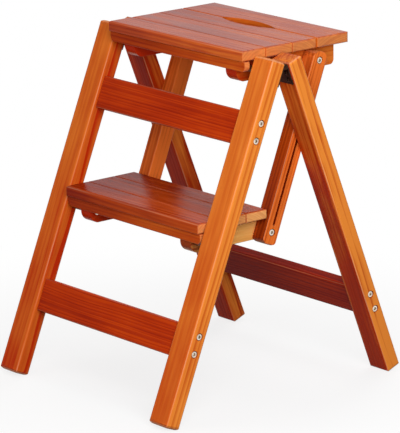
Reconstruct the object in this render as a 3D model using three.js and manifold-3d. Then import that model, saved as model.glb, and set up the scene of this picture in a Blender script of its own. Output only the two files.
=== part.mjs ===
// Folding step stool chair: two wooden frames hinged at the top, with a slatted seat and a
// slatted step that hang on the front legs and on two slotted links. The front legs, seat, step
// and links make a parallelogram, so lifting the hand hole in the seat folds all of it flat.
// Millimetres, +Z up, +Y to the back, +X to the right as seen from the front, origin on the floor
// in the middle of the feet.
import * as THREE from "three";
import { mergeVertices } from "three/addons/utils/BufferGeometryUtils.js";
import Module from "manifold-3d";

const wasm = await Module();
wasm.setup();

// The whole stool. Both frames lean so that their feet and the hinge pins come where these say
const seatHeight = 500; // floor to the seat's upper face
const stepHeight = 270; // floor to the step's upper face
const overallWidth = 380; // over the outer faces of the legs
const stanceDepth = 436; // over the feet, front to back
const hingeDrop = 21.4; // the hinge pins below the seat's upper face
const hingeSetback = 4.3; // the hinge pins behind the middle of the feet

// Clearances and facets
const fitGap = 0.3; // between pieces that touch
const boreGap = 0.4; // round a bolt or a pin, on the radius
const overrun = 5; // how far a cutter reaches past what it cuts
const roundSides = 16; // of a bolt, bore or pin
const hexagonSides = 6;
const edgeSteps = 4; // facets of a quarter round on an edge
const cornerSteps = 6; // facets of a quarter round on an outline
const handHoleSteps = 14; // facets of one side of the hand hole

// Legs of both frames
const legWidth = 40; // along X
const legDepth = 25; // front to back
const legEdge = 4.5; // rounding of the long edges
const legEnd = 7; // rounding of the edges round both ends
const frontLegPastPin = 4.8; // from beside the hinge pin to the leg's upper end
const rearLegPastPin = 4.2;

// Crosspieces between the legs, with two screws in each end
const crosspieceHeight = 48;
const crosspieceDepth = 18;
const crosspieceEdge = 3.5;
const upperCrosspieceDrop = 73.2; // along the legs, hinge pin to upper edge
const lowerCrosspieceFoot = 96; // along the legs, foot end to lower edge
const rearCrosspieceFoot = 94;
const screwPitch = 25; // between the two screws of one end
const screwGrip = 22; // how far they enter the crosspiece

// Boards of the seat and the step
const boardToLeg = 3; // from the boards' ends to the legs
const boardThickness = 15;
const slatEdge = 2; // rounding that leaves a V between two slats
const slatEnd = 3.5; // rounding of the edges at the slats' ends
const boardNose = 5; // rounding of the front and rear upper edges
const seatSlatWidths = [43, 49, 44, 63];
const seatSlatGaps = [0.3, 0.3, 2.2];
const seatRearCorner = 10; // rounding of the seat's two rear corners, seen from above
const stepSlatWidths = [39.5, 48.5, 39.4];
const stepSlatGaps = [0.3, 0.3];
const stepRearCorner = 4;
const handHoleLength = 120;
const handHoleWidth = 28;

// Aprons under the boards' front edges
const apronHeight = 15;
const apronThickness = 9;
const apronSetback = 4; // behind the boards' front edge
const apronCorner = 8; // rounding of the two lower corners
const apronEdge = 1.5;

// Cleats under the boards, which carry the pivots
const cleatThickness = 22; // along X
const cleatHeight = 34;
const cleatEdge = 1.5;
const cleatNose = 16; // rounding of the front lower corner
const seatCleatSetback = 10; // behind the seat's front edge
const seatCleatPastLink = 48.8; // from the link bolt to the rear end
const seatCleatTail = 8; // rounding of the rear lower corner
const stepCleatSetback = 7.4;
const stepCleatPastLink = 11.8;
const stepCleatTail = 12; // rounding of both rear corners

// Pivots in the front legs, in the cleats and in the links
const seatPivotDrop = 29; // below the seat's upper face
const stepPivotDrop = 32; // below the step's upper face
const seatPivotDepth = 14.6; // behind the front legs' front face
const stepPivotDepth = 18.5;
const linkPivotReach = 117.7; // behind the leg pivot
const linkPivotDrop = 4; // below the leg pivot
const pivotGrip = 22; // how far the pivot bolts enter the legs
const spacerRadius = 5;
const seatOverhang = 25.5; // the seat's front edge ahead of its leg pivot
const stepOverhang = 17.9;

// Links
const linkThickness = 24; // along X
const linkWidth = 26.5; // front to back
const linkEdge = 3;
const linkTail = 18; // below the lower link bolt
const linkTailCorner = 10;
const linkToLeg = 2.5; // to the rear leg outside it
const linkToCleat = 1.5; // to the cleat inside it
const slotWidth = 7;
const slotDepth = 6;
const slotStart = 9; // above the lower link bolt
const slotPlay = 1; // past the guide pin at the slot's upper end
const guidePinRadius = 3;
const guidePinGrip = 18; // how far it enters the rear leg
const guidePinReach = 2; // out of the rear leg's inner face

// Screws, bolts and nuts
const boltRadius = 3;
const headRadius = 4.7;
const headHeight = 3.2;
const headRound = 1;
const socketRadius = 2.3; // hexagon, to its corners
const socketDepth = 2.2;
const counterboreRadius = 5.5;
const counterboreDepth = 4.2;
const nutRadius = 5.6; // hexagon, to its corners
const nutHeight = 5;

// Butt hinges between the frames
const knuckleRadius = 4;
const hingePinRadius = 1.6;
const hingeWidth = 34; // along X
const leafLength = 30; // down from the pin
const leafThickness = 1.6;
const leafCorner = 0.4;
const frontKnuckleLength = 11;
const leafHoleRadius = 1.8;
const leafHoleInset = 8; // from the leaf's sides
const leafHoleDrops = [12, 23]; // below the pin

// Materials
function finish(colour, roughness, metalness) {
  return new THREE.MeshStandardMaterial({ color: colour, roughness, metalness, flatShading: true });
}
const lacqueredPine = finish(0xb8541c, 0.35, 0);
const zincSteel = finish(0xd0d2d4, 0.3, 0.9);
const nickelSteel = finish(0xb6b4ae, 0.35, 0.9);
const palePlastic = finish(0xc9b48c, 0.5, 0);

// A closed geometry as a solid that can be cut and joined
function solidOf(geometry) {
  geometry.deleteAttribute("normal");
  geometry.deleteAttribute("uv");
  const merged = mergeVertices(geometry);
  const corners = merged.index.array;
  const kept = [];
  for (let i = 0; i < corners.length; i += 3) {
    const [a, b, c] = corners.slice(i, i + 3);
    if (a !== b && b !== c && c !== a) kept.push(a, b, c);
  }
  return new wasm.Manifold(new wasm.Mesh({
    numProp: 3,
    vertProperties: new Float32Array(merged.attributes.position.array),
    triVerts: new Uint32Array(kept),
  }));
}

// A solid as a geometry, mirrored in the plane X = 0 where side is -1
function geometryOf(solid, side) {
  const { vertProperties, triVerts } = solid.getMesh();
  const places = vertProperties.map((value, index) => (index % 3 === 0 ? side * value : value));
  const corners = Array.from(triVerts);
  if (side < 0) corners.reverse();
  const geometry = new THREE.BufferGeometry();
  geometry.setAttribute("position", new THREE.BufferAttribute(places, 3));
  geometry.setIndex(corners);
  geometry.computeVertexNormals();
  return geometry;
}

function addPiece(group, name, solid, place, material, side = 1) {
  const mesh = new THREE.Mesh(geometryOf(solid, side), material);
  mesh.name = name;
  mesh.position.set(side * place[0], place[1], place[2]);
  group.add(mesh);
}

// A right-hand piece and its mirror image on the left
function addPair(group, name, solid, place, material) {
  addPiece(group, `${name}_right`, solid, place, material, 1);
  addPiece(group, `${name}_left`, solid, place, material, -1);
}

function cutAll(solid, cutters) {
  return cutters.reduce((rest, cutter) => rest.subtract(cutter), solid);
}

// A convex outline, anticlockwise, with a rounding radius for each of its points
function roundedOutline(points, radii) {
  const shape = new THREE.Shape();
  const count = points.length;
  points.forEach((point, i) => {
    const corner = new THREE.Vector2(...point);
    const toLast = new THREE.Vector2(...points[(i + count - 1) % count]).sub(corner).normalize();
    const toNext = new THREE.Vector2(...points[(i + 1) % count]).sub(corner).normalize();
    const half = toLast.angleTo(toNext) / 2;
    const inward = toLast.clone().add(toNext).normalize().multiplyScalar(radii[i] / Math.sin(half));
    const run = radii[i] / Math.tan(half);
    const start = toLast.multiplyScalar(run).sub(inward).angle();
    const end = toNext.multiplyScalar(run).sub(inward).angle();
    const centre = corner.add(inward);
    shape.absarc(centre.x, centre.y, radii[i], start, end, false);
  });
  return shape;
}

function roundedRectangle(across, up, radius) {
  const corners = [[0, 0], [across, 0], [across, up], [0, up]];
  return roundedOutline(corners, corners.map(() => radius));
}

// A straight stretch with two round ends, upwards from start to end
function roundEnded(radius, start, end) {
  const shape = new THREE.Shape();
  shape.absarc(0, end, radius, 0, Math.PI, false);
  shape.absarc(0, start, radius, Math.PI, 2 * Math.PI, false);
  return shape;
}

// Bars: the outline lies across the bar, which runs along its axis from the given place.
// Across and up are Y and Z for a bar along X, Z and X for one along Y, X and Y for one along Z
const axisX = new THREE.Vector3(1, 0, 0);
const axisY = new THREE.Vector3(0, 1, 0);
const axisZ = new THREE.Vector3(0, 0, 1);

function bar(shape, length, steps, place, axes) {
  const geometry = new THREE.ExtrudeGeometry(shape, {
    depth: length, bevelEnabled: false, curveSegments: steps,
  });
  geometry.applyMatrix4(new THREE.Matrix4().makeBasis(...axes).setPosition(...place));
  return solidOf(geometry);
}

function barAlongX(shape, length, steps = edgeSteps, place = [0, 0, 0]) {
  return bar(shape, length, steps, place, [axisY, axisZ, axisX]);
}

function barAlongY(shape, length, steps = edgeSteps, place = [0, 0, 0]) {
  return bar(shape, length, steps, place, [axisZ, axisX, axisY]);
}

function barAlongZ(shape, length, steps = edgeSteps, place = [0, 0, 0]) {
  return bar(shape, length, steps, place, [axisX, axisY, axisZ]);
}

// A rectangular block of x by y by z with its lowest corner at place and every edge rounded, those
// of its upper and lower face by the radius that ends gives
function timber(x, y, z, edge, place = [0, 0, 0], ends = edge) {
  const lengthwise = barAlongZ(roundedRectangle(x, y, edge), z, edgeSteps, place);
  const sideways = barAlongX(roundedRectangle(y, z, ends), x, edgeSteps, place);
  const frontways = barAlongY(roundedRectangle(z, x, ends), y, edgeSteps, place);
  return lengthwise.intersect(sideways).intersect(frontways);
}

// A round or hexagonal rod along X from x = start, centred on y and z
function rodAlongX(radius, start, length, y = 0, z = 0, sides = roundSides) {
  const geometry = new THREE.CylinderGeometry(radius, radius, length, sides);
  geometry.rotateZ(-Math.PI / 2);
  geometry.translate(start + length / 2, y, z);
  return solidOf(geometry);
}

// A hexagon-socket bolt: its head's bearing face at x = 0, its head on the side that way gives
function socketBolt(shankLength, way) {
  const outline = [
    [0, -shankLength],
    [boltRadius, -shankLength],
    [boltRadius, 0],
    [headRadius, 0],
    [headRadius, headHeight - headRound],
    [headRadius - headRound, headHeight],
    [0, headHeight],
  ];
  const body = new THREE.LatheGeometry(outline.map((point) => new THREE.Vector2(...point)), roundSides);
  const socket = new THREE.CylinderGeometry(socketRadius, socketRadius, 2 * socketDepth, hexagonSides);
  socket.translate(0, headHeight, 0);
  [body, socket].forEach((geometry) => geometry.rotateZ(-way * Math.PI / 2));
  return solidOf(body).subtract(solidOf(socket));
}

// How far a leg leans, and how far up it the hinge pin is. The legs are cut square, so each stands
// on the lower edge that faces the pin, and its other lower edge is reach from the pin. The foot
// gets a little shallower as the leg leans, so the lean is found in a few rounds
const hingeOffset = knuckleRadius + fitGap; // from both legs' facing sides to the pin
const leanRounds = 12;
function leaningLeg(reach) {
  const rise = seatHeight - hingeDrop - legEnd;
  let lean = 0;
  let run = 0;
  for (let round = 0; round < leanRounds; round += 1) {
    run = reach - legEnd - (legDepth - 2 * legEnd) * Math.cos(lean);
    lean = Math.atan2(run, rise) - Math.asin((hingeOffset + legEnd) / Math.hypot(run, rise));
  }
  return { lean, pin: legEnd + run * Math.sin(lean) + rise * Math.cos(lean) };
}
const { lean: leanFront, pin: frontPin } = leaningLeg(stanceDepth / 2 + hingeSetback);
const { lean: leanRear, pin: rearPin } = leaningLeg(stanceDepth / 2 - hingeSetback);

// Front and lower corner of a foot end before its edges are rounded, as [y, z]
function roundingLoss(lean) {
  return legEnd * (Math.sin(lean) + Math.cos(lean) - 1);
}
const frontFoot = [
  -stanceDepth / 2 - roundingLoss(leanFront),
  legDepth * Math.sin(leanFront) - roundingLoss(leanFront),
];
const rearFoot = [
  stanceDepth / 2 - legDepth * Math.cos(leanRear) + roundingLoss(leanRear),
  -roundingLoss(leanRear),
];

// A pivot in the front legs at a given height and depth, with its distance along them
function legPivot(height, depth) {
  const along = (height - frontFoot[1] + depth * Math.sin(leanFront)) / Math.cos(leanFront);
  const y = frontFoot[0] + along * Math.sin(leanFront) + depth * Math.cos(leanFront);
  return { place: [y, height], along, depth };
}
const seatPivot = legPivot(seatHeight - seatPivotDrop, seatPivotDepth);
const stepPivot = legPivot(stepHeight - stepPivotDrop, stepPivotDepth);

// The links stay parallel to the line through the two leg pivots
const pivotRise = seatPivot.place[1] - stepPivot.place[1];
const pivotRun = seatPivot.place[0] - stepPivot.place[0];
const linkLength = Math.hypot(pivotRise, pivotRun);
const leanLink = Math.atan2(pivotRun, pivotRise);
const linkFoot = [stepPivot.place[0] + linkPivotReach, stepPivot.place[1] - linkPivotDrop];

// The guide pin sits where the middles of link and rear leg cross when the stool stands open
function guidePlace() {
  const lean = leanLink + leanRear;
  const across = rearFoot[0] - linkFoot[0];
  const up = rearFoot[1] - linkFoot[1];
  const acrossLink = across * Math.cos(leanLink) - up * Math.sin(leanLink);
  const alongLink = across * Math.sin(leanLink) + up * Math.cos(leanLink);
  const alongLeg = (acrossLink + legDepth / 2 * Math.cos(lean)) / Math.sin(lean);
  return {
    link: alongLink + alongLeg * Math.cos(lean) + legDepth / 2 * Math.sin(lean),
    leg: alongLeg,
  };
}
const guide = guidePlace();

// Faces along X, on the right-hand side
const outerFace = overallWidth / 2;
const innerFace = outerFace - legWidth;
const linkOuter = innerFace - linkToLeg;
const linkInner = linkOuter - linkThickness;
const cleatOuter = linkInner - linkToCleat;
const cleatInner = cleatOuter - cleatThickness;
const boardWidth = 2 * (innerFace - boardToLeg);

// Heights of the two screws of a crosspiece whose lower edge is at foot
function screwHeights(foot) {
  const middle = foot + crosspieceHeight / 2;
  return [middle - screwPitch / 2, middle + screwPitch / 2];
}

function legBlank(length) {
  return timber(legWidth, legDepth, length, legEdge, [0, 0, 0], legEnd);
}

// Bores and counterbores in a leg, for the crosspieces at the given feet
function screwBores(feet) {
  const middle = legDepth / 2;
  return feet.flatMap(screwHeights).flatMap((height) => [
    rodAlongX(boltRadius + boreGap, -overrun, legWidth + 2 * overrun, middle, height),
    rodAlongX(counterboreRadius, legWidth - counterboreDepth, counterboreDepth + overrun, middle, height),
  ]);
}

// A crosspiece between the legs of one frame, with its four screws
function addCrosspiece(frame, name, foot) {
  const length = 2 * (innerFace - fitGap);
  const bores = screwHeights(0).flatMap((height) => [-overrun, length - screwGrip].map((start) => (
    rodAlongX(boltRadius + boreGap, start, screwGrip + overrun, crosspieceDepth / 2, height)
  )));
  const rail = cutAll(timber(length, crosspieceDepth, crosspieceHeight, crosspieceEdge), bores);
  const place = [-length / 2, (legDepth - crosspieceDepth) / 2, foot];
  addPiece(frame, `${name}_crosspiece`, rail, place, lacqueredPine);
  const screw = socketBolt(legWidth - counterboreDepth + screwGrip - 2 * fitGap, 1);
  screwHeights(foot).forEach((height, index) => {
    const seat = [outerFace - counterboreDepth + fitGap, legDepth / 2, height];
    addPair(frame, `${name}_crosspiece_screw_${index + 1}`, screw, seat, zincSteel);
  });
}

// One leaf of a butt hinge. The wood's face is y = 0, the pin is at z = 0 and lies behind the
// wood where way is 1, in front of it where way is -1. Knuckles are stretches along X
function hingeLeaf(way, knuckles, otherKnuckles) {
  const plateFront = way > 0 ? fitGap : -fitGap - leafThickness;
  const plate = timber(hingeWidth, leafThickness, leafLength, leafCorner, [0, plateFront, -leafLength]);
  const clearings = otherKnuckles.map(([start, end]) => (
    rodAlongX(knuckleRadius + fitGap, start - fitGap, end - start + 2 * fitGap, way * hingeOffset)
  ));
  const holes = leafHoleDrops.flatMap((drop) => [leafHoleInset, hingeWidth - leafHoleInset].map((x) => {
    const hole = new THREE.CylinderGeometry(leafHoleRadius, leafHoleRadius, 2 * overrun, roundSides / 2);
    hole.translate(x, plateFront, -drop);
    return solidOf(hole);
  }));
  const barrels = knuckles.map(([start, end]) => (
    rodAlongX(knuckleRadius, start, end - start, way * hingeOffset)
  ));
  const joined = barrels.reduce((rest, barrel) => rest.add(barrel), cutAll(plate, [...clearings, ...holes]));
  const pinBore = rodAlongX(hingePinRadius + fitGap, -overrun, hingeWidth + 2 * overrun, way * hingeOffset);
  return joined.subtract(pinBore);
}
const frontKnuckles = [[0, frontKnuckleLength], [hingeWidth - frontKnuckleLength, hingeWidth]];
const rearKnuckles = [[frontKnuckleLength + fitGap, hingeWidth - frontKnuckleLength - fitGap]];
const hingeInner = innerFace + (legWidth - hingeWidth) / 2;

// A bolt from the cleat's inner face through a spacer into the leg
function addLegPivot(frame, name, { along, depth }) {
  const spacerLength = innerFace - cleatOuter - 2 * fitGap;
  const bore = rodAlongX(boltRadius + boreGap, -overrun, spacerLength + 2 * overrun);
  const spacer = rodAlongX(spacerRadius, 0, spacerLength).subtract(bore);
  addPair(frame, `${name}_pivot_spacer`, spacer, [cleatOuter + fitGap, depth, along], palePlastic);
  const shankLength = innerFace - cleatInner + pivotGrip - fitGap;
  const bolt = socketBolt(shankLength, -1);
  addPair(frame, `${name}_pivot_bolt`, bolt, [cleatInner - fitGap, depth, along], zincSteel);
}

// Front frame, in a group that leans back about its foot corner
function frontFrame() {
  const frame = new THREE.Group();
  frame.position.set(0, ...frontFoot);
  frame.rotation.x = -leanFront;
  const upperCrosspieceFoot = frontPin - upperCrosspieceDrop - crosspieceHeight;
  const pivotBores = [seatPivot, stepPivot].map(({ along, depth }) => (
    rodAlongX(boltRadius + boreGap, -overrun, pivotGrip + overrun + boreGap, depth, along)
  ));
  const blank = legBlank(frontPin + frontLegPastPin);
  const leg = cutAll(blank, [...screwBores([lowerCrosspieceFoot, upperCrosspieceFoot]), ...pivotBores]);
  addPair(frame, "front_leg", leg, [innerFace, 0, 0], lacqueredPine);
  addCrosspiece(frame, "upper", upperCrosspieceFoot);
  addCrosspiece(frame, "lower", lowerCrosspieceFoot);
  addLegPivot(frame, "seat", seatPivot);
  addLegPivot(frame, "step", stepPivot);
  const leaf = hingeLeaf(1, frontKnuckles, rearKnuckles);
  addPair(frame, "hinge_front_leaf", leaf, [hingeInner, legDepth, frontPin], nickelSteel);
  const pin = rodAlongX(hingePinRadius, 0, hingeWidth);
  addPair(frame, "hinge_pin", pin, [hingeInner, legDepth + hingeOffset, frontPin], nickelSteel);
  return frame;
}

// Rear frame, in a group that leans forward about its foot corner
function rearFrame() {
  const frame = new THREE.Group();
  frame.position.set(0, ...rearFoot);
  frame.rotation.x = leanRear;
  const guideBore = rodAlongX(
    guidePinRadius + boreGap, -overrun, guidePinGrip + overrun, legDepth / 2, guide.leg,
  );
  const blank = legBlank(rearPin + rearLegPastPin);
  const leg = cutAll(blank, [...screwBores([rearCrosspieceFoot]), guideBore]);
  addPair(frame, "rear_leg", leg, [innerFace, 0, 0], lacqueredPine);
  addCrosspiece(frame, "rear", rearCrosspieceFoot);
  const leaf = hingeLeaf(-1, rearKnuckles, frontKnuckles);
  addPair(frame, "hinge_rear_leaf", leaf, [hingeInner, 0, rearPin], nickelSteel);
  const guidePin = rodAlongX(guidePinRadius, -guidePinReach, guidePinReach + guidePinGrip - boreGap);
  addPair(frame, "guide_pin", guidePin, [innerFace, legDepth / 2, guide.leg], zincSteel);
  return frame;
}

// A slat across the board, its upper edges rounded by frontEdge and rearEdge and its two rear
// corners, seen from above, by rearCorner
function slat(width, frontEdge, rearEdge, rearCorner) {
  const corners = [[0, 0], [width, 0], [width, boardThickness], [0, boardThickness]];
  const section = roundedOutline(corners, [slatEdge, slatEdge, rearEdge, frontEdge]);
  const plan = [[0, 0], [boardWidth, 0], [boardWidth, width], [0, width]];
  const flat = roundedOutline(plan, [slatEdge, slatEdge, rearCorner, rearCorner]);
  return barAlongX(section, boardWidth)
    .intersect(barAlongY(roundedRectangle(boardThickness, boardWidth, slatEnd), width))
    .intersect(barAlongZ(flat, boardThickness));
}

// The hand hole: two arcs that meet in points, its middle at the given y
function handHole(y) {
  const halfLength = handHoleLength / 2;
  const halfWidth = handHoleWidth / 2;
  const radius = (halfLength ** 2 + halfWidth ** 2) / (2 * halfWidth);
  const half = Math.asin(halfLength / radius);
  const shape = new THREE.Shape();
  shape.absarc(0, radius - halfWidth, radius, -Math.PI / 2 - half, -Math.PI / 2 + half, false);
  shape.absarc(0, halfWidth - radius, radius, Math.PI / 2 - half, Math.PI / 2 + half, false);
  return barAlongZ(shape, boardThickness + 2 * overrun, handHoleSteps, [boardWidth / 2, y, -overrun]);
}

// Slats side by side from the front edge back. The seat's rear two share the hand hole
function addSlats(flap, name, { overhang, drop, widths, gaps, rearCorner, holed }) {
  const last = widths.length - 1;
  let front = -overhang;
  widths.forEach((width, index) => {
    const edges = [index === 0 ? boardNose : slatEdge, index === last ? boardNose : slatEdge];
    let board = slat(width, ...edges, index === last ? rearCorner : slatEdge);
    if (holed && index === last - 1) board = board.subtract(handHole(width + gaps[index] / 2));
    if (holed && index === last) board = board.subtract(handHole(-gaps[index - 1] / 2));
    const place = [-boardWidth / 2, front, drop - boardThickness];
    addPiece(flap, `${name}_slat_${index + 1}`, board, place, lacqueredPine);
    front += width + (gaps[index] ?? 0);
  });
}

function addApron(flap, name, { overhang, drop }) {
  const corners = [[0, 0], [apronHeight, 0], [apronHeight, boardWidth], [0, boardWidth]];
  const outline = roundedOutline(corners, [apronCorner, apronEdge, apronEdge, apronCorner]);
  const section = roundedRectangle(apronThickness, apronHeight, apronEdge);
  const board = barAlongY(outline, apronThickness, cornerSteps).intersect(barAlongX(section, boardWidth));
  const place = [-boardWidth / 2, apronSetback - overhang, drop - boardThickness - fitGap - apronHeight];
  addPiece(flap, `${name}_apron`, board, place, lacqueredPine);
}

// Fore-and-aft cleats, notched round the apron and bored for the leg pivot and the link bolt.
// tails are the rounding radii of the lower and the upper rear corner
function addCleats(flap, name, { overhang, drop, setback, pastLink, tails }) {
  const front = setback - overhang;
  const length = linkPivotReach + pastLink - front;
  const top = drop - boardThickness - fitGap;
  const foot = top - cleatHeight;
  const corners = [[front, foot], [front + length, foot], [front + length, top], [front, top]];
  const outline = roundedOutline(corners, [cleatNose, ...tails, cleatEdge]);
  const section = roundedRectangle(cleatHeight, cleatThickness, cleatEdge);
  const blank = barAlongX(outline, cleatThickness, cornerSteps)
    .intersect(barAlongY(section, length, edgeSteps, [0, front, foot]));
  const notchDepth = apronSetback + apronThickness + fitGap - setback;
  const notch = new THREE.BoxGeometry(3 * cleatThickness, 2 * notchDepth, 2 * (apronHeight + fitGap));
  notch.translate(0, front, top);
  const bores = [[0, 0], [linkPivotReach, -linkPivotDrop]].map(([y, z]) => (
    rodAlongX(boltRadius + boreGap, -overrun, cleatThickness + 2 * overrun, y, z)
  ));
  const cleat = cutAll(blank, [solidOf(notch), ...bores]);
  addPair(flap, `${name}_cleat`, cleat, [cleatInner, 0, 0], lacqueredPine);
}

// A bolt from the link's outer face through link and cleat, with its nut
function addLinkBolts(flap, name) {
  const seat = linkOuter - counterboreDepth + fitGap;
  const nutFace = cleatInner - fitGap;
  const bolt = socketBolt(seat - nutFace + nutHeight, 1);
  addPair(flap, `${name}_link_bolt`, bolt, [seat, linkPivotReach, -linkPivotDrop], zincSteel);
  const bore = rodAlongX(boltRadius + fitGap, -overrun, nutHeight + 2 * overrun);
  const nut = rodAlongX(nutRadius, 0, nutHeight, 0, 0, hexagonSides).subtract(bore);
  const place = [nutFace - nutHeight, linkPivotReach, -linkPivotDrop];
  addPair(flap, `${name}_link_nut`, nut, place, zincSteel);
}

// The seat and the step hang alike on their leg pivots
const flaps = {
  seat: {
    pivot: seatPivot,
    drop: seatPivotDrop,
    overhang: seatOverhang,
    widths: seatSlatWidths,
    gaps: seatSlatGaps,
    rearCorner: seatRearCorner,
    holed: true,
    setback: seatCleatSetback,
    pastLink: seatCleatPastLink,
    tails: [seatCleatTail, cleatEdge],
  },
  step: {
    pivot: stepPivot,
    drop: stepPivotDrop,
    overhang: stepOverhang,
    widths: stepSlatWidths,
    gaps: stepSlatGaps,
    rearCorner: stepRearCorner,
    holed: false,
    setback: stepCleatSetback,
    pastLink: stepCleatPastLink,
    tails: [stepCleatTail, stepCleatTail],
  },
};

// Boards, apron, cleats and link bolts of one flap, in a group at its leg pivot
function flap(name) {
  const group = new THREE.Group();
  group.position.set(0, ...flaps[name].pivot.place);
  addSlats(group, name, flaps[name]);
  addApron(group, name, flaps[name]);
  addCleats(group, name, flaps[name]);
  addLinkBolts(group, name);
  return group;
}

// Links with a round head, a blunt tail and a guide slot in the outer face, in a group at the
// lower link bolt
function links() {
  const group = new THREE.Group();
  group.position.set(0, ...linkFoot);
  group.rotation.x = -leanLink;
  const half = linkWidth / 2;
  const length = linkTail + linkLength + half;
  const place = [0, -half, -linkTail];
  const head = linkLength + half;
  const corners = [[-half, -linkTail], [half, -linkTail], [half, head], [-half, head]];
  const outline = roundedOutline(corners, [linkTailCorner, linkTailCorner, half, half]);
  const blank = barAlongX(outline, linkThickness, cornerSteps)
    .intersect(barAlongY(roundedRectangle(length, linkThickness, linkEdge), linkWidth, edgeSteps, place))
    .intersect(barAlongZ(roundedRectangle(linkThickness, linkWidth, linkEdge), length, edgeSteps, place));
  const slotTop = guide.link + guidePinRadius + slotPlay;
  const slotOutline = roundEnded(slotWidth / 2, slotStart + slotWidth / 2, slotTop - slotWidth / 2);
  const slot = barAlongX(slotOutline, slotDepth + overrun, cornerSteps, [linkThickness - slotDepth, 0, 0]);
  const bores = [0, linkLength].flatMap((along) => [
    rodAlongX(boltRadius + boreGap, -overrun, linkThickness + 2 * overrun, 0, along),
    rodAlongX(counterboreRadius, linkThickness - counterboreDepth, counterboreDepth + overrun, 0, along),
  ]);
  addPair(group, "link", cutAll(blank, [slot, ...bores]), [linkInner, 0, 0], lacqueredPine);
  return group;
}

const stool = new THREE.Group();
stool.add(frontFrame(), rearFrame(), flap("seat"), flap("step"), links());

export default stool;
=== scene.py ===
"""Dresses the folding step stool chair: stained and lacquered pine, zinc screws, nickel hinges.

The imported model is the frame. Its wooden pieces keep their shape and get grain that runs along
each of them. Screws, bolts and nuts are made again with finer edges and recesses.
"""

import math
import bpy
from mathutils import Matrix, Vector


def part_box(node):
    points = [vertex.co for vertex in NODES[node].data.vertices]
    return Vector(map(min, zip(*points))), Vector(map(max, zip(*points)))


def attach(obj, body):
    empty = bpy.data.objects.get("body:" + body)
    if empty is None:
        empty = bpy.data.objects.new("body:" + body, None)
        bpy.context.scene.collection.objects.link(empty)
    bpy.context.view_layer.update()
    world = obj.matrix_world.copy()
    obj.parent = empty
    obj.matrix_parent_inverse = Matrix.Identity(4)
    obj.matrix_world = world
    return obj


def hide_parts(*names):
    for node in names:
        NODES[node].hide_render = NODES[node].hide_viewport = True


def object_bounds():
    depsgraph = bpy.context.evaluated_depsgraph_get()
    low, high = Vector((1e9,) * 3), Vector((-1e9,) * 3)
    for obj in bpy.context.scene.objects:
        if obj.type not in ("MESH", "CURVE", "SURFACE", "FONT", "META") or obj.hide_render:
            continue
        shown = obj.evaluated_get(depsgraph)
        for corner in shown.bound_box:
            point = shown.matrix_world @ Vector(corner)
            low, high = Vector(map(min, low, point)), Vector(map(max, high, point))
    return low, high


bl_info = {
    "name": "Folding Step Stool Chair",
    "version": (1, 0, 0),
    "blender": (4, 5, 0),
    "location": "View3D > Sidebar > Stool",
    "description": "Finishes a folding wooden step stool and sets its stage",
    "category": "Object",
}

import bpy
from mathutils import Matrix, Vector

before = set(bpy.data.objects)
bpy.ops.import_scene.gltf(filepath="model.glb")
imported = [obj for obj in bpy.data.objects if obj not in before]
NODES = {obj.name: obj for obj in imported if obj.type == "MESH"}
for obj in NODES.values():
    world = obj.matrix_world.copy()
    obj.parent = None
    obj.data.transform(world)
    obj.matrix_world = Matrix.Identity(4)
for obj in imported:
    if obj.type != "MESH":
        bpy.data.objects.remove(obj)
CAD_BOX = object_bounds()
SIDES = {"right": 1, "left": -1}  # with the way that each looks along X
MM = 0.001
RING_SPACING = 4.6 * MM
RING_DRIFT = 13 * MM


# Places and directions taken from the frame

def centre_of(node):
    low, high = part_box(node)
    return (low + high) / 2


def size_of(node):
    low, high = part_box(node)
    return high - low


def direction(start, end):
    return (centre_of(end) - centre_of(start)).normalized()


ACROSS = Vector((1, 0, 0))
BACKWARD = Vector((0, 1, 0))
UPWARD = Vector((0, 0, 1))
FRONT_FRAME_UP = direction("lower_crosspiece_screw_1_right", "upper_crosspiece_screw_2_right")
REAR_FRAME_UP = direction("rear_crosspiece_screw_1_right", "rear_crosspiece_screw_2_right")
LINK_UP = direction("step_link_bolt_right", "seat_link_bolt_right")

# Which crosspieces the screws of each frame hold
FRAME_SCREWS = {
    "front_frame": ("upper_crosspiece", "lower_crosspiece"),
    "rear_frame": ("rear_crosspiece",),
}
FLAPS = {"seat": 4, "step": 3}  # with how many slats each has


# Settings

def colour(name, description, default):
    """A colour as it shows on a screen"""
    return bpy.props.FloatVectorProperty(
        name=name, description=description, default=default, size=3, min=0.0, max=1.0,
        subtype="COLOR_GAMMA",
    )


def settings_of(**kind):
    """A function that makes settings of one kind of number"""

    def setting(name, description, default):
        return bpy.props.FloatProperty(name=name, description=description, default=default, **kind)

    return setting


length = settings_of(min=0.0, precision=5, subtype="DISTANCE", unit="LENGTH")
share = settings_of(min=0.0, max=1.0, subtype="FACTOR")
power = settings_of(min=0.0, unit="POWER")
angle = settings_of(subtype="ANGLE", unit="ROTATION")
focal_length = settings_of(min=1.0, unit="CAMERA")


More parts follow.
